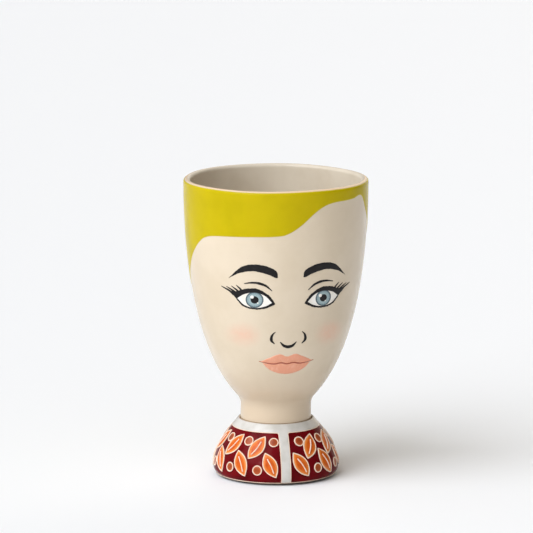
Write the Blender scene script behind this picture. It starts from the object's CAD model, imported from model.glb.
import math
import random

import bmesh
import bpy
import numpy as np
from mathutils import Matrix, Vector
from mathutils.geometry import delaunay_2d_cdt


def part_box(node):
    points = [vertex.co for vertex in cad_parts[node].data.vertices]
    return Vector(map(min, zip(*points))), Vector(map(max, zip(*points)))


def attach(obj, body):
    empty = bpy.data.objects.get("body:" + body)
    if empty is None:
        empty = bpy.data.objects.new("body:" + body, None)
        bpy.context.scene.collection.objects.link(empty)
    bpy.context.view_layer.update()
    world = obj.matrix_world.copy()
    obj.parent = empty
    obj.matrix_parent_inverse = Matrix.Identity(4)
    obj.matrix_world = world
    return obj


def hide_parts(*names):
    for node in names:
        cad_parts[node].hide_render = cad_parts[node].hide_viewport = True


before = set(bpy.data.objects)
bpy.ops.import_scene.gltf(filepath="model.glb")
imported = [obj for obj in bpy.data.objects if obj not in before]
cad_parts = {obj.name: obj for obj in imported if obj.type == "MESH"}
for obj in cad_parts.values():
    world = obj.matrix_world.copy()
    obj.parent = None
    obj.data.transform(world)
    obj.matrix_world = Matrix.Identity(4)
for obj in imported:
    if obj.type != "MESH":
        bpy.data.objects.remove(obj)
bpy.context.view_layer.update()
mm = 0.001  # sizes of pieces are in millimetres, meshes in metres
print("frame loaded,", len(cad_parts), "nodes")


def nodeBox(node):
    low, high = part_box(node)
    return low / mm, high / mm


def metres(*sizes):
    return [size * mm for size in sizes]


def addObject(name, data):
    made = bpy.data.objects.new(name, data)
    bpy.context.scene.collection.objects.link(made)
    return made


# camera: far off with a long lens, a little above the rim
cameraSet = {
    "azimuth": -9.5, "elevation": 10.3, "distance": 3.0, "side": -0.0061, "height": 0.1371,
    "lens": 312.0, "sensor": 36.0, "farthest": 100.0,
}


def setCamera(look):
    azimuth, elevation = math.radians(look["azimuth"]), math.radians(look["elevation"])
    level = math.cos(elevation)
    back = Vector((math.sin(azimuth) * level, -math.cos(azimuth) * level, math.sin(elevation)))
    right = Vector((math.cos(azimuth), math.sin(azimuth), 0))
    eye = addObject("photoCamera", bpy.data.cameras.new("photoCamera"))
    eye.data.lens = look["lens"]
    eye.data.sensor_width = look["sensor"]
    eye.data.clip_end = look["farthest"]
    eye.location = right * look["side"] + Vector((0, 0, look["height"])) + back * look["distance"]
    eye.rotation_euler = (-back).to_track_quat("-Z", "Y").to_euler()
    bpy.context.scene.camera = eye


setCamera(cameraSet)


def setSockets(node, sockets):
    for name, value in sockets.items():
        if isinstance(value, Wire):
            node.id_data.links.new(value.socket, node.inputs[name])
        else:
            node.inputs[name].default_value = value


# a socket that can be used in sums; any other node comes from node()
class Wire:
    def __init__(self, tree, socket):
        self.tree = tree
        self.socket = socket

    def node(self, kind, sockets, output=0, **settings):
        made = self.tree.nodes.new(kind)
        for name, value in settings.items():
            setattr(made, name, value)
        setSockets(made, sockets)
        return Wire(self.tree, made.outputs[output])

    def geo(self, kind, sockets, output=0, **settings):
        return self.node("GeometryNode" + kind, sockets, output, **settings)

    def out(self, name):
        return Wire(self.tree, self.socket.node.outputs[name])

    def sum(self, operation, first, second=0.0):
        return self.node("ShaderNodeMath", {0: first, 1: second}, operation=operation)

    def vectorSum(self, operation, sockets):
        return self.node("ShaderNodeVectorMath", sockets, operation=operation)

    def __add__(self, other):
        return self.sum("ADD", self, other)

    def __radd__(self, other):
        return self.sum("ADD", other, self)

    def __sub__(self, other):
        return self.sum("SUBTRACT", self, other)

    def __rsub__(self, other):
        return self.sum("SUBTRACT", other, self)

    def __mul__(self, other):
        return self.sum("MULTIPLY", self, other)

    def __rmul__(self, other):
        return self.sum("MULTIPLY", other, self)

    def __truediv__(self, other):
        return self.sum("DIVIDE", self, other)

    def __rtruediv__(self, other):
        return self.sum("DIVIDE", other, self)

    def noise(self, scale, detail=3.0, roughness=0.5):
        sockets = {"Vector": self, "Scale": scale, "Detail": detail, "Roughness": roughness}
        return self.node("ShaderNodeTexNoise", sockets)

    def cells(self, scale):
        return self.node("ShaderNodeTexVoronoi", {"Vector": self, "Scale": scale})

    def stretched(self, scale):
        return self.node("ShaderNodeMapping", {"Vector": self, "Scale": scale})

    def split(self):
        return self.node("ShaderNodeSeparateXYZ", {"Vector": self})

    def band(self, low, high):  # 0 below low, 1 above high, smooth between
        sockets = {"Value": self, "From Min": low, "From Max": high}
        return self.node("ShaderNodeMapRange", sockets, interpolation_type="SMOOTHSTEP")

    def blend(self, first, second):  # this wire is the share of the second colour
        colours = [tone if isinstance(tone, Wire) else (*tone, 1) for tone in (first, second)]
        return self.node("ShaderNodeMix", {0: self, 6: colours[0], 7: colours[1]}, 2, data_type="RGBA")

    def bump(self, strength, distance):
        return self.node("ShaderNodeBump", {"Strength": strength, "Distance": distance, "Height": self})


def vector(x, y, z):
    some = next(value for value in (x, y, z) if isinstance(value, Wire))
    return some.node("ShaderNodeCombineXYZ", {"X": x, "Y": y, "Z": z})


# a wide soft key from the upper left, a faint warm light from behind on the right, a narrow window
# for the gloss, and a room that dims away from the key
lightSet = {
    "key": {"kind": "SUN", "place": (-1.5, -0.95, 1.95), "size": 0.90, "power": 2.42,
            "tint": (0.97, 0.99, 1.04)},
    "back": {"kind": "SUN", "place": (1.15, 1.65, 0.90), "size": 0.90, "power": 0.6,
             "tint": (1.0, 0.90, 0.76)},
    "window": {"kind": "AREA", "place": (-1.35, -1.55, 0.95), "size": (0.035, 0.22), "power": 1.8,
               "tint": (1.0, 0.99, 0.98)},
}
lightAim = Vector((0, 0, 0.1))
roomSet = {
    "bright": (1.46, 1.46, 1.46), "dim": (0.27, 0.225, 0.17), "away": (0.93, 0.37), "span": (-0.8, 0.75),
    "strength": 0.56,
}


def setLights(lamps, room):
    for name, look in lamps.items():
        lamp = addObject(name + "Light", bpy.data.lights.new(name + "Light", look["kind"]))
        if look["kind"] == "SUN":
            lamp.data.angle = look["size"]
        else:
            lamp.data.shape = "RECTANGLE"
            lamp.data.size, lamp.data.size_y = look["size"]
        lamp.data.energy = look["power"]
        lamp.data.color = look["tint"]
        lamp.location = look["place"]
        lamp.rotation_euler = (lightAim - lamp.location).to_track_quat("-Z", "Y").to_euler()
    world = bpy.data.worlds.new("paleRoom")
    world.use_nodes = True
    tree = world.node_tree
    toward = Wire(tree, tree.nodes.new("ShaderNodeTexCoord").outputs["Generated"]).split()
    away = toward.out("X") * room["away"][0] + toward.out("Y") * room["away"][1]
    tone = away.band(*room["span"]).blend(room["bright"], room["dim"])
    setSockets(tree.nodes["Background"], {"Color": tone, "Strength": room["strength"]})
    bpy.context.scene.world = world
    bpy.context.scene.view_settings.view_transform = "Standard"


setLights(lightSet, roomSet)
print("camera and lights set")


# finishes: patterns are set by cells per metre, bumps by their depth in metres
def startFinish(name):
    material = bpy.data.materials.new(name)
    material.use_nodes = True
    tree = material.node_tree
    return material, Wire(tree, tree.nodes.new("ShaderNodeTexCoord").outputs["Object"])


def endFinish(material, sockets):
    setSockets(material.node_tree.nodes["Principled BSDF"], sockets)
    return material


def rimPart(place, look):  # the share of the rim's tone, none away from a coat's rim
    inward = place.node("ShaderNodeAttribute", {}, "Fac", attribute_name="rim").band(*look["rimSpan"])
    return (1.0 - inward) * look["rimShare"]


def fromSpot(spot, centre, size):  # across, up and how far from a place that the face has on both sides
    across = (spot.sum("ABSOLUTE", spot.out("X")) - centre[0]) / size[0]
    up = (spot.out("Z") - centre[1]) / size[1]
    return across, up, spot.sum("SQRT", across * across + up * up)


# glaze: thin and pooled tones, brushed streaks, a paler rim on some, orange peel and a few pinholes
glazeSet = {
    "cloud": 210.0, "streak": 0.3, "streakScale": 160.0, "streakShare": 0.4, "rough": 0.12, "gloss": 0.3,
    "peel": 0.10, "peelScale": 420.0, "peelDepth": 0.0004, "pinhole": 260.0, "pinholePatch": 60.0,
}


def glazeFinish(name, changes):
    look = {**glazeSet, **changes}
    material, place = startFinish(name)
    cloud = place.noise(look["cloud"], 4.0, 0.55)
    tone = cloud.band(0.38, 0.68).blend(look["thin"], look["deep"])
    streak = place.stretched((1.0, 1.0, look["streak"])).noise(look["streakScale"], 2.0)
    tone = (streak.band(0.35, 0.75) * look["streakShare"]).blend(tone, look["streakTone"])
    if "rimTone" in look:
        tone = rimPart(place, look).blend(tone, look["rimTone"])
    peel = place.noise(look["peelScale"], 2.0)
    patch = place.noise(look["pinholePatch"], 1.0).band(0.60, 0.66)
    pinhole = (1.0 - place.cells(look["pinhole"]).band(0.05, 0.14)) * patch
    return endFinish(material, {
        "Base Color": (pinhole * 0.25).blend(tone, look["deep"]),
        "Roughness": look["rough"] + cloud * 0.09 + pinhole * 0.2,
        "Normal": (peel * 0.6 + cloud * 0.8 - pinhole * 0.8).bump(look["peel"], look["peelDepth"]),
        "Specular IOR Level": look["gloss"],
    })


# cream ceramic: clouded, faintly specked, blush on the cheeks, warm where the glaze breaks over the lip
def creamFinish(name, look):
    material, place = startFinish(name)
    spot = place.split()
    level = spot.out("Z")
    cloud = place.noise(look["cloud"], 4.0, 0.55)
    tone = cloud.band(0.35, 0.70).blend(look["light"], look["warm"])
    tone = ((1.0 - level.band(*look["pool"])) * look["poolShare"]).blend(tone, look["deep"])
    reach = fromSpot(spot, look["cheek"], look["cheekSize"])[2]
    cheek = (1.0 - reach.band(0.1, 1.15)) * (1.0 - spot.out("Y").band(-0.01, 0.0))
    dab = place.noise(look["dab"], 3.0, 0.6).band(0.25, 0.75)
    tone = (cheek * (0.6 + dab * 0.4) * look["blushShare"]).blend(tone, look["blush"])
    tone = level.band(*look["lip"]).blend(tone, look["peach"])
    joint = level + (place.noise(look["jointWave"], 2.0) - 0.5) * look["jointSpread"]
    tone = (1.0 - joint.band(*look["joint"])).blend(tone, look["jointTone"])
    patch = place.noise(look["speckPatch"], 1.0).band(0.60, 0.64)
    speck = (1.0 - place.cells(look["speck"]).band(0.08, 0.16)) * patch
    peel = place.noise(look["peel"], 2.0)
    return endFinish(material, {
        "Base Color": (speck * 0.3).blend(tone, look["speckTone"]),
        "Roughness": look["rough"] + cloud * 0.08 + peel * 0.04,
        "Normal": (peel * 0.5 + cloud * 0.9 - speck * 0.4).bump(0.10, look["peelDepth"]),
        "Specular IOR Level": look["gloss"],
    })


# brushed paint: strokes that thin out along the brush, satin
paintLook = {"hairs": 600.0, "cloud": 120.0, "rimSpan": (0.0, 0.5), "rimShare": 0.35, "bumpDepth": 0.0003}


def paintFinish(name, changes):
    look = {**paintLook, **changes}
    material, place = startFinish(name)
    hairs = place.stretched(look["brush"]).noise(look["hairs"], 3.0, 0.6)
    cloud = place.noise(look["cloud"], 2.0)
    thin = hairs.band(0.42, 0.80) * cloud.band(0.35, 0.70)
    tone = (thin * look["thinShare"]).blend(look["deep"], look["thin"])
    return endFinish(material, {
        "Base Color": rimPart(place, look).blend(tone, look["thin"]),
        "Roughness": look["rough"] + hairs * 0.16,
        "Normal": (hairs * 0.7 + cloud * 0.4).bump(0.12, look["bumpDepth"]),
        "Specular IOR Level": look["gloss"],
    })


# iris: dark outer ring, paler middle, fine spokes
def irisFinish(name, look):
    material, place = startFinish(name)
    across, up, outward = fromSpot(place.split(), look["centre"], look["size"])
    turn = across.sum("ARCTAN2", up, across)
    wander = place.noise(look["spokeWave"], 2.0) * look["spokeWander"]
    spoke = turn.sum("SINE", turn * look["spokes"] + wander) * 0.5 + 0.5
    tone = outward.band(0.30, 0.85).blend(look["pale"], look["mid"])
    tone = (spoke * 0.35).blend(tone, look["spoke"])
    return endFinish(material, {
        "Base Color": (outward.band(0.74, 0.92) * 0.85).blend(tone, look["ring"]),
        "Roughness": look["rough"] + spoke * 0.06,
        "Normal": (spoke * 0.3 + place.noise(look["bump"])).bump(0.06, look["bumpDepth"]),
        "Specular IOR Level": look["gloss"],
    })


# matt finishes: bare fired clay, the wiped edge of the foot, moulded silicone
def matFinish(name, look):
    material, place = startFinish(name)
    cloud = place.noise(look["cloud"], 4.0, 0.6)
    grit = place.noise(look["grit"], 3.0, 0.65)
    tone = cloud.band(0.30, 0.70).blend(look["light"], look["dark"])
    return endFinish(material, {
        "Base Color": (grit.band(0.60, 0.75) * 0.35).blend(tone, look["dark"]),
        "Roughness": look["rough"] + grit * 0.18,
        "Normal": (grit + cloud * 0.5).bump(look["tooth"], glazeSet["peelDepth"]),
        "Specular IOR Level": look["gloss"],
    })


# outlines and turned sections, points as (across, level) or (across, up)
touching = 1e-6  # points nearer than this are one
curveSteps = 16
waveSizes = (11.0, 5.0, 2.3)  # of a brushed edge
sharpAngle = math.radians(55)


def smooth(share):
    share = np.clip(share, 0, 1)
    return share * share * (3 - 2 * share)


def cubic(handles, steps):
    share = np.linspace(0, 1, steps + 1)[:, None]
    start, leave, arrive, stop = (np.array(handle, float) for handle in handles)
    rest = 1 - share
    return rest**3 * start + 3 * rest**2 * share * leave + 3 * rest * share**2 * arrive + share**3 * stop


def arc(centre, radius, start, stop, steps):
    turn = np.radians(np.linspace(start, stop, steps + 1))
    return np.stack([centre[0] + radius * np.cos(turn), centre[1] + radius * np.sin(turn)], axis=1)


def straight(start, stop, steps=1):
    return np.linspace(start, stop, steps + 1)


def joinRuns(*runs):
    joined = [runs[0]]
    for run in runs[1:]:
        meets = np.linalg.norm(run[0] - joined[-1][-1]) < touching
        joined.append(run[1:] if meets else run)
    return np.concatenate(joined)


def bent(steps, *points):  # straight runs from point to point
    return joinRuns(*(straight(*run) for run in zip(points, points[1:], steps)))


def lengths(points):
    return np.concatenate([[0], np.cumsum(np.linalg.norm(np.diff(points, axis=0), axis=1))])


def evenly(points, spacing):
    along = lengths(points)
    count = max(int(math.ceil(along[-1] / spacing)), 2)
    at = np.linspace(0, along[-1], count + 1)
    return np.stack([np.interp(at, along, column) for column in points.T], axis=1)


def curveThrough(points, steps=curveSteps):
    points = np.array(points, float)
    padded = np.concatenate([[2 * points[0] - points[1]], points, [2 * points[-1] - points[-2]]])
    runs = []
    for before, start, stop, after in zip(padded, padded[1:], padded[2:], padded[3:]):
        runs.append(cubic([start, start + (stop - before) / 6, stop - (after - start) / 6, stop], steps))
    return joinRuns(*runs)


def outline(runs, spacing):  # smooth runs that meet at corners
    return np.concatenate([evenly(curveThrough(run), spacing)[:-1] for run in runs])


def stroke(points, widths, spacing=0.4):  # a brush stroke round a line, with rounded ends
    middle = evenly(curveThrough(points), spacing)
    share = np.linspace(0, 1, len(middle))
    half = np.interp(share, np.linspace(0, 1, len(widths)), widths)[:, None] / 2
    ahead = np.gradient(middle, axis=0)
    ahead /= np.linalg.norm(ahead, axis=1)[:, None]
    square = np.stack([-ahead[:, 1], ahead[:, 0]], axis=1)
    turn = np.radians((-60, -30, 0, 30, 60))[:, None]
    tip = middle[-1] + half[-1] * (np.cos(turn) * ahead[-1] + np.sin(turn) * square[-1])
    tail = middle[0] - half[0] * (np.cos(turn) * ahead[0] + np.sin(turn) * square[0])
    return np.concatenate([middle - square * half, tip, (middle + square * half)[::-1], tail])


def besideLoop(loop):  # a step of one to the side, at each point of a loop
    ahead = np.roll(loop, -1, axis=0) - np.roll(loop, 1, axis=0)
    return np.stack([ahead[:, 1], -ahead[:, 0]], axis=1) / np.linalg.norm(ahead, axis=1)[:, None]


def wobble(loop, amount, seed):  # the unsteady edge of a painted field
    draw = random.Random(seed)
    along = lengths(np.concatenate([loop, loop[:1]]))
    push = np.zeros(len(loop))
    for size in waveSizes:
        waves = max(round(along[-1] / size), 1)
        phase = draw.uniform(0, 2 * math.pi)
        push += draw.uniform(0.5, 1.0) * np.sin(2 * math.pi * waves * along[:-1] / along[-1] + phase)
    return loop + besideLoop(loop) * push[:, None] * amount


def mirrored(loop):
    return (loop * (-1, 1))[::-1]


# a turned side: lengths along it, its points and its outward normals, from the foot upwards
def makeSide(points):
    along = lengths(points)
    slope = np.gradient(points, along, axis=0)
    normal = np.stack([slope[:, 1], -slope[:, 0]], axis=1)
    return {"along": along, "points": points, "normal": normal / np.linalg.norm(normal, axis=1)[:, None]}


def onSide(side, wave, turn, along, lift):
    across, level, outward, upward = (
        np.interp(along, side["along"], column) for column in (*side["points"].T, *side["normal"].T)
    )
    swell, rise = wave(turn, level)
    across = across + outward * lift + swell
    level = level + upward * lift + rise
    return np.stack([across * np.sin(turn), -across * np.cos(turn), level], axis=1) * mm


def makePiece(name, points, faces, materials, zones=None):
    mesh = bpy.data.meshes.new(name)
    mesh.from_pydata(points, [], faces)
    for material in materials:
        mesh.materials.append(material)
    if zones is not None:
        mesh.polygons.foreach_set("material_index", zones)
    mesh.polygons.foreach_set("use_smooth", [True] * len(mesh.polygons))
    mesh.set_sharp_from_angle(angle=sharpAngle)
    return addObject(name, mesh)


def stillWave(turn, level):
    return 0.0 * turn, 0.0 * turn


# a turned body: runs of (points, zone), outer side upwards, closed or from axis to axis
def turnBody(name, runs, materials, wave=stillWave, columns=192):
    section = joinRuns(*(points for points, _ in runs))
    zoneOf = np.concatenate([[zone] * (len(points) - 1) for points, zone in runs])
    if np.linalg.norm(section[0] - section[-1]) < touching:
        section = section[:-1]
    turn = np.linspace(0, 2 * math.pi, columns, endpoint=False)
    points, starts, sizes = [], [], []
    for across, level in section:
        onAxis = across <= touching
        starts.append(len(points))
        sizes.append(1 if onAxis else columns)
        swell, rise = wave(turn, np.full(columns, level))
        reach = across + swell
        ringPoints = np.stack([reach * np.sin(turn), -reach * np.cos(turn), level + rise], axis=1) * mm
        points.extend([(0, 0, level * mm)] if onAxis else ringPoints)
    faces, zones = [], []
    for index, zone in enumerate(zoneOf):
        after = (index + 1) % len(section)
        for column in range(columns):
            beside = (column + 1) % columns
            low = [starts[index] + column % sizes[index], starts[index] + beside % sizes[index]]
            high = [starts[after] + beside % sizes[after], starts[after] + column % sizes[after]]
            faces.append(list(dict.fromkeys(low + high)))
            zones.append(zone)
    return makePiece(name, points, faces, materials, zones)


def insideLoops(points, loops):
    inside = np.zeros(len(points), bool)
    px, py = points[:, :1], points[:, 1:]
    for loop in loops:
        ax, ay = loop.T
        bx, by = np.roll(loop, -1, axis=0).T
        rise = np.where(by == ay, 1.0, by - ay)
        crossed = ((ay > py) != (by > py)) & (px < (bx - ax) * (py - ay) / rise + ax)
        inside ^= np.count_nonzero(crossed, axis=1) % 2 == 1
    return inside


def edgeDistance(points, rims, chunk=1500):
    best = np.full(len(points), np.inf)
    for rim in rims:
        start = rim[:-1]
        step = rim[1:] - start
        size = np.maximum((step**2).sum(axis=1), touching**2)
        for first in range(0, len(points), chunk):
            part = slice(first, first + chunk)
            away = points[part, None] - start
            share = np.clip((away * step).sum(axis=2) / size, 0, 1)
            gap = np.linalg.norm(away - share[..., None] * step, axis=2).min(axis=1)
            best[part] = np.minimum(best[part], gap)
    return best


def closedRims(loops):
    return [np.concatenate([loop, loop[:1]]) for loop in loops]


def chain(first, count, closed=True):  # edges along a line of points
    edges = [(first + index, first + index + 1) for index in range(count - 1)]
    return edges + [(first + count - 1, first)] if closed else edges


# how a flat outline is filled: rows of points across a rounded rim, in shares of its width, then a grid
fillSet = {
    "rimRows": (0.1, 0.3, 0.62, 1.05), "rowSlack": 0.07, "rowPitch": 0.866, "offBorder": 0.3,
    "offRim": (1.3, 0.2), "merge": 1e-4, "weld": 0.002,
}


def fillOutline(loops, rims, edge, grid):
    spots, borders, edges = list(loops), closedRims(loops), []
    for loop in loops:
        edges += chain(len(edges), len(loop))
        for share in fillSet["rimRows"]:
            aside = besideLoop(loop) * edge * share
            beside = np.concatenate([loop - aside, loop + aside])
            beside = beside[insideLoops(beside, loops)]
            off = np.abs(edgeDistance(beside, rims) / (edge * share) - 1)
            spots.append(beside[off < fillSet["rowSlack"]])
    low, high = np.concatenate(loops).min(axis=0), np.concatenate(loops).max(axis=0)
    pitch, (edgeShare, gridShare) = fillSet["rowPitch"], fillSet["offRim"]
    for row in range(int((high[1] - low[1]) / (grid * pitch)) + 1):
        xs = np.arange(low[0] + (row % 2) * grid / 2, high[0], grid)
        line = np.stack([xs, np.full(len(xs), low[1] + row * grid * pitch)], axis=1)
        offBorder = edgeDistance(line, borders) > grid * fillSet["offBorder"]
        line = line[insideLoops(line, loops) & offBorder]
        spots.append(line[edgeDistance(line, rims) > edge * edgeShare + grid * gridShare])
    given = [Vector(spot) for spot in np.concatenate(spots)]
    filled = delaunay_2d_cdt(given, edges, [], 0, fillSet["merge"])
    points = np.array([tuple(spot) for spot in filled[0]])
    faces = np.array(filled[2])
    return points, faces[insideLoops(points[faces].mean(axis=1), loops)]


# a coat on a surface: rounded rims, underside just below what carries it, closed all round
def coat(name, shapes, place, look, material, seam=False):
    points, faces, depths, total = [], [], [], 0
    for shape in shapes:
        loops, rims = shape if isinstance(shape, tuple) else (shape, closedRims(shape))
        flat, tris = fillOutline(loops, rims, look["edge"], look["grid"])
        count = len(flat)
        depth = edgeDistance(flat, rims)
        share = np.clip(depth / look["edge"], 0, 1)
        lift = look["thick"] * np.sqrt(1 - (1 - share) ** 2)
        points += [place(flat, lift), place(flat, np.full(count, -look["sink"]))]
        depths += [np.clip(depth / look["rim"], 0, 1)] * 2
        sides = dict.fromkeys(pair for a, b, c in tris.tolist() for pair in ((a, b), (b, c), (c, a)))
        border = [(a, b) for a, b in sides if (b, a) not in sides]
        if seam:  # the two ends meet at the back and need no wall between them
            end = np.abs(flat[:, 0]).max() - fillSet["merge"]
            border = [(a, b) for a, b in border if min(abs(flat[a, 0]), abs(flat[b, 0])) < end]
        faces += (tris + total).tolist() + (tris[:, ::-1] + total + count).tolist()
        faces += [(a + total, a + total + count, b + total + count, b + total) for a, b in border]
        total += 2 * count
    piece = makePiece(name, np.concatenate(points), faces, [material])
    store = piece.data.attributes.new("rim", "FLOAT", "POINT")
    store.data.foreach_set("value", np.concatenate(depths))
    if seam:
        form = bmesh.new()
        form.from_mesh(piece.data)
        bmesh.ops.remove_doubles(form, verts=form.verts, dist=fillSet["weld"] * mm)
        form.to_mesh(piece.data)
        form.free()
    return piece


def seamRun(start, stop, look):  # an end that meets the other one, with a point on each row of the rims
    near = np.array((0.0, *fillSet["rimRows"])) * look["edge"]
    size = math.dist(start, stop)
    between = np.linspace(near[-1], size - near[-1], look["seamSteps"] + 1)[1:-1]
    share = np.concatenate([near, between, size - near[::-1]])[:, None] / size
    return start + share * np.subtract(stop, start)


def wrappedField(look, top, hem):  # a field right round a side, from its top line down to its hem
    end = math.pi * look["girth"]
    crown = straight((-end, top), (end, top), look["columns"])
    right, left = seamRun(crown[-1], hem[0], look), seamRun(hem[-1], crown[0], look)
    return [np.concatenate([run[:-1] for run in (crown, right, hem, left)])], [crown, hem]


def finishPiece(piece, body, slot, *nodes):
    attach(piece, body)
    if nodes:
        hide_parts(*nodes)


# trees of Geometry Nodes, for what repeats
def startTree(name, inputs):
    tree = bpy.data.node_groups.new(name, "GeometryNodeTree")
    for label, kind in {"Geometry": "Geometry", **inputs}.items():
        tree.interface.new_socket(label, in_out="INPUT", socket_type="NodeSocket" + kind)
    tree.interface.new_socket("Geometry", in_out="OUTPUT", socket_type="NodeSocketGeometry")
    return Wire(tree, tree.nodes.new("NodeGroupInput").outputs["Geometry"])


def endTree(result, material):
    plain = result.geo("RealizeInstances", {"Geometry": result})
    painted = result.geo("SetMaterial", {"Geometry": plain, "Material": material})
    setSockets(result.tree.nodes.new("NodeGroupOutput"), {"Geometry": painted})
    return result.tree


def growMesh(piece, tree, values):
    modifier = piece.modifiers.new(tree.name, "NODES")
    modifier.node_group = tree
    names = {item.name: item.identifier for item in tree.interface.items_tree if item.in_out == "INPUT"}
    for label, value in values.items():
        modifier[names[label]] = value
    graph = bpy.context.evaluated_depsgraph_get()
    grown = bpy.data.meshes.new_from_object(piece.evaluated_get(graph))
    piece.modifiers.remove(modifier)
    return grown


def joinMeshes(piece, meshes, material):
    form = bmesh.new()
    for mesh in meshes:
        form.from_mesh(mesh)
    joined = bpy.data.meshes.new(piece.name)
    form.to_mesh(joined)
    form.free()
    joined.materials.append(material)
    piece.data = joined


def linePiece(name, lines):  # edges only, each line closed or open
    points, edges = [], []
    for line, closed in lines:
        edges += chain(len(points), len(line), closed)
        points.extend(line)
    mesh = bpy.data.meshes.new(name)
    mesh.from_pydata(points, edges, [])
    return addObject(name, mesh)


print("tools ready")

# head pot: one casting, neck, egg-shaped bowl and rounded lip
potLow, potHigh = nodeBox("head_pot")
baseLow, baseHigh = nodeBox("collar_base")
potSet = {
    "wall": 4.5, "neck": 23.0, "neckLength": 9.0, "throat": 10.0, "jawLean": 42.0, "jawReach": 33.0,
    "cheekReach": 70.0, "footRing": 6.0, "footDepth": 3.0, "footRound": 1.0, "floorCorner": 5.0,
    "drain": 6.0, "sideSteps": 160, "outsideSteps": 110, "insideSteps": 70,
    # size, first level and height it grows over, then count, phase and share of each wave
    "girthWave": (0.16, 60.0, 60.0, [(2, 0.6, 1.0), (3, 2.0, 0.6)]),
    "lipWave": (0.22, 150.0, 43.0, [(2, 1.1, 1.0), (5, 0.3, 0.5)]), "inward": 1.2,
}
rimRadius = potHigh.x
lipRadius = potSet["wall"] / 2
lipLevel = potHigh.z - lipRadius
lipCentre = (rimRadius - lipRadius, lipLevel)
throatLevel = baseHigh.z + potSet["neckLength"]


def bowlHandles(inset):
    radius = potSet["throat"] + inset
    lean = math.radians(potSet["jawLean"])
    start = np.array([potSet["neck"] + potSet["throat"] - radius * math.cos(lean),
                      throatLevel + radius * math.sin(lean)])
    leave = start + potSet["jawReach"] * np.array([math.sin(lean), math.cos(lean)])
    side = rimRadius - inset
    return [start, leave, (side, lipLevel - potSet["cheekReach"]), (side, lipLevel)]


def potWave(turn, level):  # the slight unevenness of a slip-cast pot
    moves = []
    for size, first, height, waves in (potSet["girthWave"], potSet["lipWave"]):
        ripple = sum(share * np.sin(count * turn + phase) for count, phase, share in waves)
        moves.append(size * smooth((level - first) / height) * (ripple - potSet["inward"]))
    return moves


bowlCurve = cubic(bowlHandles(0), potSet["sideSteps"])
bowlSide = makeSide(joinRuns(bowlCurve, arc(lipCentre, lipRadius, 0, 90, 12)))


def potRuns():  # the numbers beside the points of a run are its steps
    wall, neck, throat, drain, turn, corner = (
        potSet[part] for part in ("wall", "neck", "throat", "drain", "footRound", "floorCorner")
    )
    foot, inner, ringInner = potLow.z, neck - wall, neck - potSet["footRing"]
    under = foot + potSet["footDepth"]
    floor = under + wall
    throatCentre, jaw = (neck + throat, throatLevel), 180 - potSet["jawLean"]
    outside = joinRuns(
        straight((neck, baseHigh.z), (neck, throatLevel), 6),
        arc(throatCentre, throat, 180, jaw, 12),
        cubic(bowlHandles(0), potSet["outsideSteps"]),
        arc(lipCentre, lipRadius, 0, 90, 8),
    )
    inside = joinRuns(
        arc(lipCentre, lipRadius, 90, 180, 8),
        cubic(bowlHandles(wall), potSet["insideSteps"])[::-1],
        arc(throatCentre, throat + wall, jaw, 180, 10),
        straight((inner, throatLevel), (inner, floor + corner), 4),
        arc((inner - corner, floor + corner), corner, 0, -90, 8),
        straight((inner - corner, floor), (drain, floor), 2),
    )
    bare = joinRuns(
        bent((2, 3, 1), (drain, floor), (drain, under), (ringInner, under), (ringInner, foot + turn)),
        arc((ringInner + turn, foot + turn), turn, 180, 270, 5),
        straight((ringInner + turn, foot), (neck - turn, foot), 2),
        arc((neck - turn, foot + turn), turn, -90, 0, 5),
        straight((neck, foot + turn), (neck, baseHigh.z), 8),
    )
    return [(outside, 0), (inside, 1), (bare, 2)]


# the face's places, from the frame
irisLow, irisHigh = nodeBox("irises")
irisRadius = 5.5
faceSet = {
    "eye": (irisHigh.x - irisRadius, (irisLow.z + irisHigh.z) / 2), "brow": (0, nodeBox("brows")[0].z),
    "nose": (0, nodeBox("nose_mark")[0].z), "mouth": (0, nodeBox("lips")[0].z),
    "cheekShift": (6.0, 8.5), "cheekSize": (11.5, 9.5),  # sideways from the eye, up from the nose
}
cheekSpot = np.add((faceSet["eye"][0], faceSet["nose"][1]), faceSet["cheekShift"])
creamOutside = creamFinish("creamCeramic", {
    "light": (0.690, 0.585, 0.444), "warm": (0.642, 0.536, 0.394), "deep": (0.590, 0.463, 0.324),
    "cloud": 30.0, "rough": 0.16, "gloss": 0.5,
    "pool": metres(throatLevel, throatLevel + 35), "poolShare": 0.75,
    "blush": (0.80, 0.36, 0.24), "blushShare": 0.42, "dab": 260.0,
    "cheek": metres(*cheekSpot), "cheekSize": metres(*faceSet["cheekSize"]),
    "peach": (0.80, 0.59, 0.39), "lip": metres(potHigh.z - 1.2, potHigh.z - 0.3),
    "joint": metres(baseHigh.z, baseHigh.z + 0.45), "jointTone": (0.20, 0.13, 0.07), "jointWave": 140.0,
    "jointSpread": 0.3 * mm, "speck": 700.0, "speckPatch": 90.0, "speckTone": (0.43, 0.32, 0.19),
    "peel": 520.0, "peelDepth": 0.5 * mm,
})
insideGlaze = glazeFinish("insideGlaze", {
    "thin": (0.66, 0.59, 0.48), "deep": (0.60, 0.525, 0.415), "streakTone": (0.64, 0.565, 0.455),
    "cloud": 40.0, "streak": 0.15, "rough": 0.20, "peel": 0.15,
})
bareClay = matFinish("bareClay", {
    "light": (0.66, 0.52, 0.38), "dark": (0.46, 0.33, 0.22), "cloud": 60.0, "grit": 900.0,
    "rough": 0.62, "tooth": 0.35, "gloss": 0.3,
})
potBody = turnBody("potBody", potRuns(), [creamOutside, insideGlaze, bareClay], potWave)
finishPiece(potBody, "head", "cream_ceramic", "head_pot")
print("pot turned")

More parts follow.
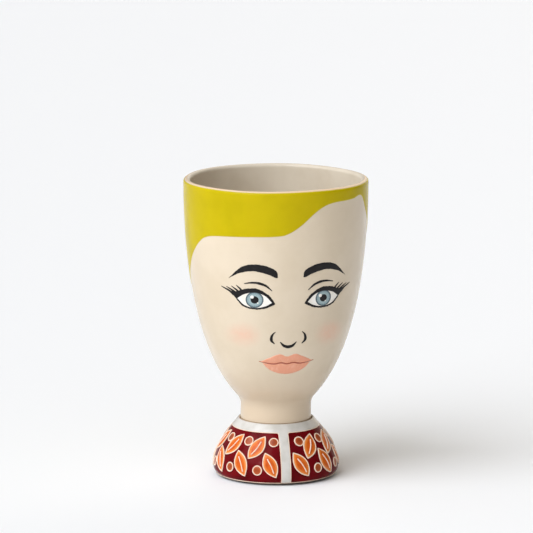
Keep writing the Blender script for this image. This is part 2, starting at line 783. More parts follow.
# hair: chartreuse glaze, side-swept fringe in front, cut in a curve from the temples to the nape
hairSet = {
    # turn from the front in degrees and drop from the rim, from the back round the right side
    "line": [
        (180, 115.4), (164, 114.2), (146, 107.5), (124, 92), (106, 72.5), (93, 54), (84, 39.5),
        (75, 27.4), (67.4, 20.0), (61.6, 12.6), (58.2, 8.6), (54, 7.0), (47, 8.2), (40, 8.6),
        (30.1, 8.9), (22.1, 10.6), (14.7, 15.0), (6.1, 22.4), (-2.3, 27.6), (-9.5, 29.0),
        (-25.5, 29.6), (-50, 31.0), (-60, 33.0), (-66, 36.4), (-72.2, 41.6), (-79.2, 48.2),
        (-89.9, 60.1), (-106, 76), (-124, 93), (-146, 107.5), (-164, 114.2), (-180, 115.4),
    ],
    "overLip": 1.7, "girth": 57.0, "columns": 360, "seamSteps": 60, "spacing": 0.7,
    "thick": 0.26, "edge": 1.4, "sink": 0.15, "grid": 2.4, "rim": 2.2,
}


def bowlAlong(level):
    return np.interp(level, bowlCurve[:, 1], bowlSide["along"][: len(bowlCurve)])


def onBowl(flat, lift):
    return onSide(bowlSide, potWave, flat[:, 0] / hairSet["girth"], flat[:, 1], lift)


def hairShape():
    girth = math.radians(hairSet["girth"])
    line = [(turn * girth, bowlAlong(potHigh.z - drop)) for turn, drop in hairSet["line"]]
    hem = evenly(curveThrough(line), hairSet["spacing"])
    return wrappedField(hairSet, bowlAlong(lipLevel) + hairSet["overLip"], hem)


chartreuseGlaze = glazeFinish("chartreuseGlaze", {
    "thin": (0.515, 0.405, 0.002), "deep": (0.465, 0.370, 0.001), "streakTone": (0.50, 0.38, 0.002),
    "rimTone": (0.60, 0.49, 0.07), "rimSpan": (0.0, 0.45), "rimShare": 0.4,
    "cloud": 45.0, "streak": 0.12, "rough": 0.14, "peel": 0.08, "gloss": 0.07,
})
hairGlaze = coat("hairGlaze", [hairShape()], onBowl, hairSet, chartreuseGlaze, seam=True)
finishPiece(hairGlaze, "head", "hair_glaze", "hair_coat")
print("hair glazed")

# painted face: outlines as seen from the front, laid on the bowl
paintSet = {"thick": 0.22, "edge": 0.45, "sink": 0.15, "grid": 0.9, "rim": 0.8, "spacing": 0.35}


def onFace(flat, lift):
    across = np.interp(flat[:, 1], bowlCurve[:, 1], bowlCurve[:, 0])
    turn = np.arcsin(np.clip(flat[:, 0] / across, -1, 1))
    return onSide(bowlSide, potWave, turn, bowlAlong(flat[:, 1]), lift)


def moved(points, spot="eye"):
    return [(across + faceSet[spot][0], up + faceSet[spot][1]) for across, up in points]


def wide(half):  # both halves of a run that is given from the middle to the right, left to right
    return [(-across, up) for across, up in half[:0:-1]] + half


def faceLoop(spot, *runs):
    return outline([moved(run, spot) for run in runs], paintSet["spacing"])


def bothSides(*loops):
    return [list(loops), [mirrored(loop) for loop in loops]]


def paint(name, shapes, material, slot, *nodes, **changes):
    piece = coat(name, shapes, onFace, {**paintSet, **changes}, material)
    finishPiece(piece, "head", slot, *nodes)


blackPaint = paintFinish("blackPaint", {
    "deep": (0.009, 0.008, 0.0085), "thin": (0.034, 0.029, 0.028), "thinShare": 0.5,
    "brush": (0.35, 0.35, 1.0), "rough": 0.26, "gloss": 0.18,
})
browSet = {
    "under": [(8.4, 2.95), (9.0, 0.95), (16.0, 3.75), (24.0, 5.15), (31.5, 3.55), (38.0, -0.65)],
    "over": [(38.0, -0.65), (31.6, 6.95), (24.0, 9.75), (15.5, 8.75), (9.6, 5.95), (8.4, 2.95)],
    "wobble": (0.07, 3),  # amount and seed
}
browLoop = wobble(faceLoop("brow", browSet["under"], browSet["over"]), *browSet["wobble"])
paint("browStrokes", bothSides(browLoop), blackPaint, "black_paint", "brows")

eyeSet = {
    "lidUnder": [(-12.8, -2.2), (-6.6, -5.0), (0.4, -6.0), (7.6, -3.9), (12.2, 1.6), (16.2, 5.4)],
    "lidOver": [(16.2, 5.4), (11.0, 5.6), (6.0, 7.6), (-1.0, 7.9), (-8.2, 3.9), (-12.8, -2.2)],
    "openOver": [(10.6, 0.9), (6.2, 4.1), (-0.4, 5.3), (-6.2, 3.1), (-10.4, -1.2)],
    "openUnder": [(-10.4, -1.2), (-6.0, -3.7), (0.2, -4.9), (6.4, -3.3), (10.6, 0.9)],
    "crease": [(-10.2, 6.8), (-6.4, 10.0), (-1.6, 11.7), (2.8, 11.8), (6.6, 11.0)],
    "creaseWidths": [0.5, 1.3, 1.7, 1.3, 0.5], "lidWobble": (0.07, 5), "creaseWobble": (0.035, 6),
    "iris": (0.3, 0.5), "pupilRadius": 2.6, "glints": {(-1.9, 2.3): 1.15, (1.7, -1.5): 0.5},
    "irisSides": 64, "pupilSides": 48, "glintSides": 28, "underLids": 1.06,
    "rimCoat": {"thick": 0.30}, "whiteCoat": {"thick": 0.07}, "irisCoat": {"thick": 0.14},
    "pupilCoat": {"thick": 0.20}, "glintCoat": {"thick": 0.27, "edge": 0.3, "grid": 0.6},
}


def disc(centre, radius, sides):
    return arc(moved([centre])[0], radius, 0, 360, sides)[:-1]


lidLoop = wobble(faceLoop("eye", eyeSet["lidUnder"], eyeSet["lidOver"]), *eyeSet["lidWobble"])
openLoop = faceLoop("eye", eyeSet["openOver"], eyeSet["openUnder"])
creaseLoop = wobble(stroke(moved(eyeSet["crease"]), eyeSet["creaseWidths"]), *eyeSet["creaseWobble"])
lidShapes = bothSides(lidLoop, openLoop) + bothSides(creaseLoop)
paint("eyeRims", lidShapes, blackPaint, "black_paint", "eye_rims", **eyeSet["rimCoat"])

eyeWhite = glazeFinish("eyeWhiteGlaze", {
    "thin": (0.86, 0.83, 0.77), "deep": (0.80, 0.75, 0.67), "streakTone": (0.88, 0.86, 0.82),
    "cloud": 130.0, "streak": 1.0, "rough": 0.16, "peel": 0.08, "gloss": 0.4,
})
irisGlaze = irisFinish("irisGlaze", {
    "centre": metres(*moved([eyeSet["iris"]])[0]), "size": metres(irisRadius, irisRadius),
    "pale": (0.34, 0.45, 0.46), "mid": (0.19, 0.28, 0.31), "ring": (0.04, 0.065, 0.08),
    "spoke": (0.44, 0.54, 0.54), "spokes": 23.0, "spokeWave": 500.0, "spokeWander": 9.0,
    "bump": 400.0, "bumpDepth": 0.3 * mm, "rough": 0.16, "gloss": 0.45,
})
eyeMiddle = np.array(faceSet["eye"])
whiteLoop = eyeMiddle + (openLoop - eyeMiddle) * eyeSet["underLids"]
paint("eyeWhites", bothSides(whiteLoop), eyeWhite, "white_glaze", **eyeSet["whiteCoat"])
irisLoop = disc(eyeSet["iris"], irisRadius, eyeSet["irisSides"])
paint("irisDiscs", bothSides(irisLoop), irisGlaze, "iris_paint", "irises", **eyeSet["irisCoat"])
pupilLoop = disc(eyeSet["iris"], eyeSet["pupilRadius"], eyeSet["pupilSides"])
paint("pupilDots", bothSides(pupilLoop), blackPaint, "black_paint", "pupils", **eyeSet["pupilCoat"])
glintShapes = []  # light falls on both eyes from the same side
for spot, radius in eyeSet["glints"].items():
    loop = disc(spot, radius, eyeSet["glintSides"])
    glintShapes += [[loop], [loop - (2 * faceSet["eye"][0], 0)]]
paint("eyeGlints", glintShapes, eyeWhite, "white_glaze", **eyeSet["glintCoat"])

# lashes: short tapered strokes that fan out from the outer half of the upper lid
lashSet = {
    "root": [(8.2, 6.5), (10.4, 5.8), (12.6, 5.4), (14.8, 5.3)], "count": 4, "length": 4.2, "grow": 0.35,
    "line": [(0.3, 0.3), (0.7, 0.7), (1.0, 1.0)],  # shares of the bend and the length
    "widths": [1.2, 1.1, 0.8, 0.35], "bend": 1.1,
    "below": 0.6, "centre": (1.0, -5.5), "reach": 0.15, "thick": 0.26, "spacing": 0.5,
}


def lashTree(material):
    inlet = startTree("lashRow", {
        "Count": "Int", "Centre": "Vector", "Grow": "Float", "Carrier": "Object", "Lash": "Object",
        "Reach": "Float",
    })
    lid = inlet.geo("MeshToCurve", {"Mesh": inlet})
    roots = inlet.geo("CurveToPoints", {"Curve": lid, "Count": inlet.out("Count")}, mode="COUNT")
    place = inlet.geo("InputPosition", {})
    away = inlet.vectorSum("SUBTRACT", {0: place, 1: inlet.out("Centre")})
    turn = inlet.node("FunctionNodeAlignRotationToVector", {"Vector": away}, axis="Z", pivot_axis="Y")
    size = 1.0 + inlet.geo("InputIndex", {}) / inlet.out("Count") * inlet.out("Grow")
    lash, carrier = (
        inlet.geo("ObjectInfo", {"Object": inlet.out(label)}, "Geometry") for label in ("Lash", "Carrier")
    )
    fan = inlet.geo("InstanceOnPoints", {
        "Points": roots, "Instance": lash, "Rotation": turn, "Scale": vector(1.0, 1.0, size),
    })
    fan = inlet.geo("RealizeInstances", {"Geometry": fan})
    spot = place.split()  # each point goes back to the carrier, and out again by its thickness
    hit = inlet.geo("Raycast", {
        "Target Geometry": carrier, "Ray Direction": (0, 1, 0), "Ray Length": inlet.out("Reach"),
        "Source Position": vector(spot.out("X"), 0.0 - inlet.out("Reach"), spot.out("Z")),
    }, "Hit Position", data_type="FLOAT")
    lift = inlet.vectorSum("SCALE", {0: hit.out("Hit Normal"), "Scale": 0.0 - spot.out("Y")})
    laid = inlet.vectorSum("ADD", {0: hit, 1: lift})
    return endTree(inlet.geo("SetPosition", {"Geometry": fan, "Position": laid}), material)


def flatFront(flat, lift):
    return np.stack([flat[:, 0], -lift, flat[:, 1]], axis=1) * mm


def paintLashes(look):
    line = [(0, -look["below"])] + [(out * look["bend"], up * look["length"]) for out, up in look["line"]]
    loop = stroke(line, look["widths"], look["spacing"])
    centre = metres(*moved([look["centre"]])[0])
    tree = lashTree(blackPaint)
    meshes = []
    for side, shape in ((1, loop), (-1, mirrored(loop))):
        lash = coat("lash", [[shape]], flatFront, {**paintSet, "thick": look["thick"]}, blackPaint)
        root = evenly(curveThrough(moved(look["root"])), look["spacing"]) * (side, 1) * mm
        lid = linePiece("lashRoot", [([(x, 0, z) for x, z in root], False)])
        meshes.append(growMesh(lid, tree, {
            "Count": look["count"], "Centre": (side * centre[0], 0, centre[1]), "Grow": look["grow"],
            "Carrier": potBody, "Lash": lash, "Reach": look["reach"],
        }))
        bpy.data.objects.remove(lid)
        bpy.data.objects.remove(lash)
    fan = linePiece("lashes", [])
    joinMeshes(fan, meshes, blackPaint)
    return fan


finishPiece(paintLashes(lashSet), "head", "black_paint")

noseSet = {
    "tip": [(0.0, 1.1), (2.8, 1.9), (5.2, 4.3)], "tipWidths": [0.6, 1.8, 2.2, 1.8, 0.6],
    "wing": [(8.9, 3.3), (11.0, 5.7), (10.6, 9.1), (8.8, 11.3)], "wingWidths": [0.5, 1.9, 1.6, 0.4],
    "tipWobble": (0.04, 7), "wingWobble": (0.04, 8),
}
wingLoop = wobble(stroke(moved(noseSet["wing"], "nose"), noseSet["wingWidths"]), *noseSet["wingWobble"])
tipLine = moved(wide(noseSet["tip"]), "nose")
tipLoop = wobble(stroke(tipLine, noseSet["tipWidths"]), *noseSet["tipWobble"])
paint("noseMark", [[tipLoop], *bothSides(wingLoop)], blackPaint, "black_paint", "nose_mark")

lipSet = {  # each run from the middle to the right
    "upper": [(0.0, 12.65), (5.2, 14.25), (11.0, 11.95), (17.0, 8.75)],
    "part": [(0.0, 7.95), (4.0, 8.65), (9.0, 7.85), (17.0, 8.75)],
    "lowerPart": [(0.0, 7.15), (4.0, 7.85), (9.0, 7.05), (15.6, 7.85)],
    "lower": [(0.0, 0.15), (6.0, 0.95), (11.6, 3.75), (15.6, 7.85)],
    "line": [(0.0, 7.55), (4.0, 8.25), (9.0, 7.45), (17.6, 8.95)],
    "lineWidths": [0.5, 0.9, 1.1, 1.2, 1.1, 0.9, 0.5], "upperWobble": (0.05, 9), "lowerWobble": (0.05, 10),
    "coat": {"thick": 0.32, "edge": 1.2},
}
lipPaint = paintFinish("lipPaint", {
    "deep": (0.74, 0.32, 0.20), "thin": (0.82, 0.46, 0.32), "thinShare": 0.8, "brush": (1.0, 1.0, 0.25),
    "rough": 0.24, "gloss": 0.35,
})
lipLinePaint = paintFinish("lipLinePaint", {
    "deep": (0.36, 0.10, 0.06), "thin": (0.50, 0.18, 0.11), "thinShare": 0.6, "brush": (0.3, 1.0, 1.0),
    "rough": 0.28, "gloss": 0.25,
})
upperLip = faceLoop("mouth", wide(lipSet["part"]), wide(lipSet["upper"])[::-1])
lowerLip = faceLoop("mouth", wide(lipSet["lower"]), wide(lipSet["lowerPart"])[::-1])
lipShapes = [[wobble(upperLip, *lipSet["upperWobble"])], [wobble(lowerLip, *lipSet["lowerWobble"])]]
paint("lipPair", lipShapes, lipPaint, "lip_paint", "lips", **lipSet["coat"])
lineLoop = stroke(moved(wide(lipSet["line"])[::-1], "mouth"), lipSet["lineWidths"])
paint("lipLine", [[lineLoop]], lipLinePaint, "lip_paint")
print("face painted")

# collar base: flared foot with a socket for the neck, a drip well and a hollow underside
seatLow, seatHigh = nodeBox("seat_ring")
collarSet = {
    "lipRound": 0.6, "slope": 50.0, "reach": 14.0, "shoulderReach": 11.0, "wall": 4.5, "footRound": 4.5,
    "footWidth": 4.8, "socket": 23.4, "well": 16.5, "wellLift": 2.0, "wellCorner": 2.0,
    "slopeSteps": 90, "hollowSteps": 40,
    "footSteps": 16, "wipedSteps": 7,  # of the rounded foot, the wiped edge that stays dark
}
baseRadius = baseHigh.x
widestLevel = baseLow.z + collarSet["footRound"]
footCentre = (baseRadius - collarSet["footRound"], widestLevel)
collarLip = (collarSet["socket"] + collarSet["lipRound"], baseHigh.z - collarSet["lipRound"])


def collarHandles(inset):  # from the widest ring up to the lip
    slope = math.radians(collarSet["slope"])
    radius = collarSet["lipRound"] - inset
    top = np.array([collarLip[0] + radius * math.sin(slope), collarLip[1] + radius * math.cos(slope)])
    arrive = top + collarSet["reach"] * np.array([math.cos(slope), -math.sin(slope)])
    side = baseRadius - inset
    return [(side, widestLevel), (side, widestLevel + collarSet["shoulderReach"]), arrive, top]


def lipArc(start, stop, steps):
    return arc(collarLip, collarSet["lipRound"], start, stop, steps)


lipTurn = 90 - collarSet["slope"]
collarFoot = arc(footCentre, collarSet["footRound"], -90, 0, collarSet["footSteps"])
collarSlope = cubic(collarHandles(0), collarSet["slopeSteps"])
collarSide = makeSide(joinRuns(collarFoot, collarSlope, lipArc(lipTurn, 90, 10)))


def collarRuns():
    wall, socket, well, corner, wiped = (
        collarSet[part] for part in ("wall", "socket", "well", "wellCorner", "wipedSteps")
    )
    foot, seat, footInner = baseLow.z, seatLow.z, footCentre[0] - collarSet["footWidth"]
    under = foot + collarSet["wellLift"]
    floor, ledge = under + wall, seat - wall
    wellOut, socketOut = well + wall, socket + wall
    hollow = cubic(collarHandles(wall), collarSet["hollowSteps"])
    hollow = hollow[hollow[:, 0] > socketOut]
    underside = joinRuns(
        bent((4, 4, 3, 2), (0, under), (wellOut, under), (wellOut, ledge), (socketOut, ledge), hollow[-1]),
        hollow[::-1],
        bent((3, 3), hollow[0], (footInner, foot), (footCentre[0], foot)),
    )
    outside = joinRuns(collarFoot[wiped:], collarSlope, lipArc(lipTurn, 90, 6))
    inside = joinRuns(
        lipArc(90, 180, 6),
        bent((6, 3, 4), (socket, collarLip[1]), (socket, seat), (well, seat), (well, floor + corner)),
        arc((well - corner, floor + corner), corner, 0, -90, 6),
        straight((well - corner, floor), (0, floor), 4),
    )
    return [(underside, 2), (collarFoot[: wiped + 1], 3), (outside, 0), (inside, 1)]


burgundyGlaze = glazeFinish("burgundyGlaze", {
    "thin": (0.150, 0.003, 0.005), "deep": (0.085, 0.002, 0.003), "streakTone": (0.105, 0.003, 0.008),
    "cloud": 90.0, "streak": 0.2, "streakShare": 0.5, "rough": 0.10, "peel": 0.12, "gloss": 0.04,
})
wipedFoot = matFinish("wipedFoot", {
    "light": (0.022, 0.013, 0.009), "dark": (0.012, 0.007, 0.005), "cloud": 90.0, "grit": 900.0,
    "rough": 0.70, "tooth": 0.3, "gloss": 0.02,
})
collarBody = turnBody("collarBody", collarRuns(), [burgundyGlaze, insideGlaze, bareClay, wipedFoot])
finishPiece(collarBody, "base", "burgundy_glaze", "collar_base")

# white collar: a band under the lip and a placket down the front, one field with rounded inner corners
whiteSet = {
    "bandLevel": nodeBox("collar_band")[0].z, "placket": 6.1, "toe": 3.06, "corner": 1.6,
    "underTop": 0.15, "girth": 34.0, "columns": 240, "seamSteps": 6, "hemSteps": 110, "cornerSteps": 8,
    "placketPoints": 60, "toeSteps": 10,
    "thick": 0.3, "edge": 0.7, "sink": 0.15, "grid": 1.3, "rim": 1.6,
}


def collarAlong(level):
    first = len(collarFoot) - 1
    return np.interp(level, collarSlope[:, 1], collarSide["along"][first : first + len(collarSlope)])


def onCollar(flat, lift):
    return onSide(collarSide, stillWave, flat[:, 0] / whiteSet["girth"], flat[:, 1], lift)


def whiteHem():  # from the back round the right side, down and up the placket, and round the left side
    girth, corner = whiteSet["girth"], whiteSet["corner"]
    band = collarAlong(whiteSet["bandLevel"])
    alongDown = np.linspace(band - corner, whiteSet["toe"], whiteSet["placketPoints"])
    across = np.interp(alongDown, collarSide["along"], collarSide["points"][:, 0])
    down = np.stack([whiteSet["placket"] / 2 / across * girth, alongDown], axis=1)
    turnIn = arc((down[0, 0] + corner, band - corner), corner, 90, 180, whiteSet["cornerSteps"])
    right = joinRuns(straight((math.pi * girth, band), turnIn[0], whiteSet["hemSteps"]), turnIn, down)
    left = mirrored(right)
    return joinRuns(right, straight(right[-1], left[0], whiteSet["toeSteps"]), left)


collarWhiteGlaze = glazeFinish("collarWhiteGlaze", {
    "thin": (0.59, 0.57, 0.535), "deep": (0.505, 0.485, 0.44), "streakTone": (0.60, 0.59, 0.56),
    "cloud": 110.0, "streak": 0.4, "rough": 0.14, "gloss": 0.4,
})
whiteShape = wrappedField(whiteSet, collarSide["along"][-1] - whiteSet["underTop"], whiteHem())
collarWhite = coat("collarWhite", [whiteShape], onCollar, whiteSet, collarWhiteGlaze, seam=True)
finishPiece(collarWhite, "base", "white_glaze", "collar_band", "placket")
print("collar glazed")

# base pattern: two rows of leaning leaves with dots between, each inside a raised line of pale slip
patternSet = {
    "count": 12, "spread": math.radians(5), "sizeSpread": 0.05, "sideSteps": 64,
    "rows": {
        # first turn and lean in degrees, level in mm, count, seed
        "lowerLeaf": {"first": 15, "level": 13.6, "lean": 28, "count": 12, "seed": 4},
        "upperLeaf": {"first": 30, "level": 23.9, "lean": -28, "count": 11, "seed": 9},
        "upperDot": {"first": 18, "level": 27.2, "lean": 0, "count": 12, "seed": 2},
        "lowerDot": {"first": 33, "level": 10.1, "lean": 0, "count": 11, "seed": 7},
    },
}
leafSet = {
    "length": 17.5, "width": 8.6, "thick": 0.45, "edge": 1.1, "sink": 0.25, "grid": 0.9, "rim": 2.0,
    "side": [
        (0.0, -0.5), (0.24, -0.36), (0.42, -0.2), (0.5, -0.01), (0.42, 0.19), (0.235, 0.355), (0.0, 0.5),
    ],
    "vein": [(0.0, -0.34), (0.05, -0.05), (0.0, 0.26)], "veinSink": 0.1, "veinSteps": 8, "spacing": 0.5,
}
dotSet = {"radius": 2.7, "thick": 0.42, "edge": 0.9, "sink": 0.25, "grid": 0.8, "rim": 1.6, "sides": 28}
orangeGlaze = glazeFinish("orangeGlaze", {
    "thin": (0.62, 0.120, 0.012), "deep": (0.48, 0.066, 0.006), "streakTone": (0.55, 0.09, 0.009),
    "rimTone": (0.80, 0.30, 0.065), "rimSpan": (0.1, 1.0), "rimShare": 0.7, "gloss": 0.15,
})
rustGlaze = glazeFinish("rustGlaze", {
    "thin": (0.36, 0.070, 0.018), "deep": (0.24, 0.040, 0.010), "streakTone": (0.30, 0.05, 0.012),
    "rimTone": (0.58, 0.15, 0.045), "rimSpan": (0.1, 0.9), "rimShare": 0.5, "gloss": 0.2,
})
handleNames = ("Foot", "Foot Handle", "Lip Handle", "Lip")


# lays copies of a flat shape in a row round the collar's side; x runs round, y up the side, z outwards
def ringTree(name, material):
    sizes = ("First", "Pitch", "Level", "Girth", "Lean", "Spread", "Size Spread")
    inlet = startTree(name, {
        "Count": "Int", "Seed": "Int", **dict.fromkeys(sizes, "Float"),
        **dict.fromkeys(handleNames, "Vector"),
    })

    def chance(spread, shift):
        sockets = {2: 0.0 - spread, 3: spread, "Seed": inlet.out("Seed") + shift}
        return inlet.node("FunctionNodeRandomValue", sockets, 1, data_type="FLOAT")

    girth = inlet.out("Girth")
    row = inlet.geo("MeshLine", {
        "Count": inlet.out("Count"), "Offset": vector(inlet.out("Pitch") * girth, 0.0, 0.0),
        "Start Location": vector(inlet.out("First") * girth, inlet.out("Level"), 0.0),
    }, mode="OFFSET")
    lean = vector(0.0, 0.0, inlet.out("Lean") + chance(inlet.out("Spread"), 0))
    lean = inlet.node("FunctionNodeEulerToRotation", {"Euler": lean})
    size = 1.0 + chance(inlet.out("Size Spread"), 1)
    copies = inlet.geo("InstanceOnPoints", {
        "Points": row, "Instance": inlet, "Rotation": lean, "Scale": size,
    })
    copies = inlet.geo("RealizeInstances", {"Geometry": copies})
    spot = inlet.geo("InputPosition", {}).split()
    turn = spot.out("X") / girth
    foot, leave, arrive, lip = (inlet.out(label) for label in handleNames)
    side = inlet.geo("CurvePrimitiveBezierSegment", {
        "Start": foot, "Start Handle": leave, "End Handle": arrive, "End": lip,
        "Resolution": patternSet["sideSteps"],
    })
    sample = inlet.geo("SampleCurve", {"Curves": side, "Length": spot.out("Y")}, "Position", mode="LENGTH")
    at, slope = sample.split(), sample.out("Tangent").split()
    across = at.out("X") + slope.out("Z") * spot.out("Z")
    level = at.out("Z") - slope.out("X") * spot.out("Z")
    wrapped = vector(across * inlet.sum("SINE", turn), 0.0 - across * inlet.sum("COSINE", turn), level)
    return endTree(inlet.geo("SetPosition", {"Geometry": copies, "Position": wrapped}), material)


def rowValues(row):
    handles = [metres(across, 0, level) for across, level in collarHandles(0)]
    return {
        "Count": row["count"], "Seed": row["seed"], **dict(zip(handleNames, handles)),
        "First": math.radians(row["first"]), "Pitch": 2 * math.pi / patternSet["count"],
        "Level": float(collarAlong(row["level"]) - lengths(collarFoot)[-1]) * mm,
        "Girth": float(np.interp(row["level"], collarSlope[:, 1], collarSlope[:, 0])) * mm,
        "Lean": math.radians(row["lean"]), "Spread": patternSet["spread"],
        "Size Spread": patternSet["sizeSpread"],
    }


def growRows(piece, tree, motif):
    rows = [row for name, row in patternSet["rows"].items() if name.endswith(motif)]
    return [growMesh(piece, tree, rowValues(row)) for row in rows]


def onFlat(flat, lift):
    return np.stack([flat[:, 0], flat[:, 1], lift], axis=1) * mm


def glazeMotif(name, motif, loop, look, material, slot, node):
    piece = coat(name, [[loop]], onFlat, look, material)
    joinMeshes(piece, growRows(piece, ringTree(name + "Ring", material), motif), material)
    finishPiece(piece, "base", slot, node)


leafSize = np.array((leafSet["width"], leafSet["length"]))
leafRight = np.array(leafSet["side"]) * leafSize
leafLoop = outline([leafRight, mirrored(leafRight)], leafSet["spacing"])
dotLoop = arc((0, 0), dotSet["radius"], 0, 360, dotSet["sides"])[:-1]
glazeMotif("leafGlaze", "Leaf", leafLoop, leafSet, orangeGlaze, "orange_glaze", "leaf_motifs")
glazeMotif("dotGlaze", "Dot", dotLoop, dotSet, rustGlaze, "rust_glaze", "dot_motifs")
print("pattern glazed")

# slip: raised lines that follow edges, a little thicker and thinner along the way
slipSet = {
    "radius": 0.42, "trimRadius": 0.26, "uneven": 0.35, "wave": 240.0, "sides": 8, "gap": 0.25,
    "lift": 0.3, "footLevel": 3.05, "footColumns": 192,
}
slipGlaze = glazeFinish("slipGlaze", {
    "thin": (0.82, 0.65, 0.51), "deep": (0.76, 0.49, 0.33), "streakTone": (0.84, 0.73, 0.62),
    "cloud": 160.0, "streak": 1.0, "streakShare": 0.5, "rough": 0.18,
})


def tubeTree(name, material):
    inlet = startTree(name, {"Radius": "Float", "Uneven": "Float", "Wave": "Float", "Sides": "Int"})
    swell = inlet.geo("InputPosition", {}).noise(inlet.out("Wave"), 1.0) - 0.5
    tube = inlet.geo("CurveToMesh", {
        "Curve": inlet.geo("MeshToCurve", {"Mesh": inlet}), "Fill Caps": True,
        "Profile Curve": inlet.geo("CurvePrimitiveCircle", {
            "Resolution": inlet.out("Sides"), "Radius": inlet.out("Radius"),
        }, mode="RADIUS"),
        "Scale": 1.0 + swell * 2.0 * inlet.out("Uneven"),
    })
    return endTree(inlet.geo("SetShadeSmooth", {"Geometry": tube}), material)


def drawSlip(look):
    lift = look["radius"] * look["lift"]
    wider = (leafSize + 2 * look["gap"]) / leafSize
    vein = curveThrough(np.array(leafSet["vein"]) * leafSize, leafSet["veinSteps"])
    motifs = {
        "Leaf": [(leafLoop * wider, 0.0, True), (vein, leafSet["thick"] - leafSet["veinSink"], False)],
        "Dot": [(dotLoop * (1 + look["gap"] / dotSet["radius"]), 0.0, True)],
    }
    ringRow, tube = ringTree("slipRing", slipGlaze), tubeTree("slipTube", slipGlaze)
    rows = []
    for motif, lines in motifs.items():
        flats = [(onFlat(line, np.full(len(line), up + lift)), closed) for line, up, closed in lines]
        edges = linePiece("slipEdges", flats)
        rows += growRows(edges, ringRow, motif)
        bpy.data.objects.remove(edges)
    footTurn = np.linspace(-math.pi, math.pi, look["footColumns"] + 1)[:-1]
    footLine = np.stack([footTurn * whiteSet["girth"], np.full(len(footTurn), look["footLevel"])], axis=1)
    trimLines = (whiteHem()[:-1], footLine)
    slip = linePiece("slipLines", [(onCollar(line, np.full(len(line), lift)), True) for line in trimLines])
    values = {"Uneven": look["uneven"], "Wave": look["wave"], "Sides": look["sides"]}
    trims = growMesh(slip, tube, {**values, "Radius": look["trimRadius"] * mm})
    joinMeshes(slip, rows, slipGlaze)
    outlines = growMesh(slip, tube, {**values, "Radius": look["radius"] * mm})
    joinMeshes(slip, [outlines, trims], slipGlaze)
    return slip


finishPiece(drawSlip(slipSet), "base", "white_glaze")
print("slip drawn")

# soft parts: the ring the neck turns on, the drain plug and the pads under the foot
silicone = matFinish("greySilicone", {
    "light": (0.14, 0.135, 0.13), "dark": (0.09, 0.088, 0.086), "cloud": 150.0, "grit": 1200.0,
    "rough": 0.48, "tooth": 0.12, "gloss": 0.4,
})
softSet = {
    "ringRound": 0.4, "plugRadius": 5.8, "chamfer": 0.8, "flange": 2.0, "waist": 2.0, "grip": 3.5,
    "gripHeight": 3.5, "gripRound": 0.8, "padRadius": 2.3, "padRound": 0.3, "padCount": 4,
    "ringColumns": 128, "plugColumns": 72, "padColumns": 36,
}


def softPart(name, section, columns):
    return turnBody(name, [(section, 0)], [silicone], columns=columns)


def ringSection():
    edge = softSet["ringRound"]
    inner, outer = potSet["neck"] - potSet["footRing"] + edge, seatHigh.x - edge
    low, high = seatLow.z + edge, seatHigh.z - edge
    centres = ((inner, low), (outer, low), (outer, high), (inner, high))
    arcs = [arc(centre, edge, turn, turn + 90, 4) for centre, turn in zip(centres, (180, 270, 0, 90))]
    return np.concatenate([*arcs, arcs[0][:1]])


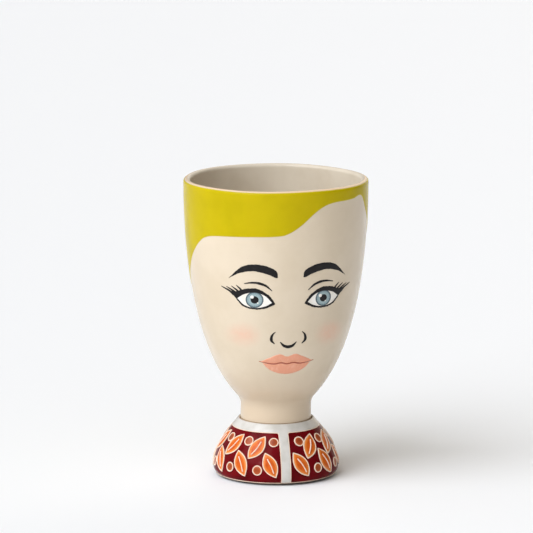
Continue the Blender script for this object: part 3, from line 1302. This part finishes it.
def plugSection():
    low, high = nodeBox("drain_plug")
    floor = potLow.z + potSet["footDepth"] + potSet["wall"]
    top = floor + softSet["flange"]
    gripLow = high.z - softSet["gripHeight"]
    shank, waist, grip, chamfer, edge = (
        softSet[part] for part in ("plugRadius", "waist", "grip", "chamfer", "gripRound")
    )
    flange = high.x - edge
    return joinRuns(
        bent((3, 1, 3, 2), (0, low.z), (shank - chamfer, low.z), (shank, low.z + chamfer), (shank, floor),
             (flange, floor)),
        arc((flange, floor + edge), edge, -90, 0, 4),
        arc((flange, top - edge), edge, 0, 90, 4),
        straight((flange, top), (waist + edge, top), 2),
        arc((waist + edge, top + edge), edge, 270, 180, 4),
        bent((2, 2), (waist, top + edge), (waist, gripLow - edge), (grip - edge, gripLow)),
        arc((grip - edge, gripLow + edge), edge, -90, 0, 4),
        arc((grip - edge, high.z - edge), edge, 0, 90, 4),
        straight((grip - edge, high.z), (0, high.z), 2),
    )


seatRing = softPart("seatRing", ringSection(), softSet["ringColumns"])
finishPiece(seatRing, "seat", "grey_silicone", "seat_ring")
drainPlug = softPart("drainPlug", plugSection(), softSet["plugColumns"])
finishPiece(drainPlug, "plug", "grey_silicone", "drain_plug")


def padTree(material):
    inlet = startTree("padRing", {"Count": "Int", "Radius": "Float", "Turn": "Vector"})
    spots = inlet.geo("MeshCircle", {"Vertices": inlet.out("Count"), "Radius": inlet.out("Radius")})
    spots = inlet.geo("Transform", {"Geometry": spots, "Rotation": inlet.out("Turn")})
    return endTree(inlet.geo("InstanceOnPoints", {"Points": spots, "Instance": inlet}), material)


def layPads():
    low, high = nodeBox("foot_pads")
    radius, edge, count = softSet["padRadius"], softSet["padRound"], softSet["padCount"]
    pads = softPart("footPads", joinRuns(
        straight((0, low.z), (radius - edge, low.z), 2),
        arc((radius - edge, low.z + edge), edge, -90, 0, 4),
        bent((1, 2), (radius, low.z + edge), (radius, high.z), (0, high.z)),
    ), softSet["padColumns"])
    reach = (high.x - radius) * math.sqrt(2)
    values = {"Count": count, "Radius": reach * mm, "Turn": (0, 0, math.pi / count)}
    joinMeshes(pads, [growMesh(pads, padTree(silicone), values)], silicone)
    return pads


finishPiece(layPads(), "base", "grey_silicone", "foot_pads")
print("soft parts made")

floorSet = {"size": 24.0, "tone": (0.890, 0.910, 0.930), "rough": 0.6}


def layFloor(look):
    half = look["size"] / 2
    material = endFinish(startFinish("paleFloor")[0], {
        "Base Color": (*look["tone"], 1), "Roughness": look["rough"],
    })
    corners = [(-half, -half, 0), (half, -half, 0), (half, half, 0), (-half, half, 0)]
    makePiece("floor", corners, [(0, 1, 2, 3)], [material])


layFloor(floorSet)
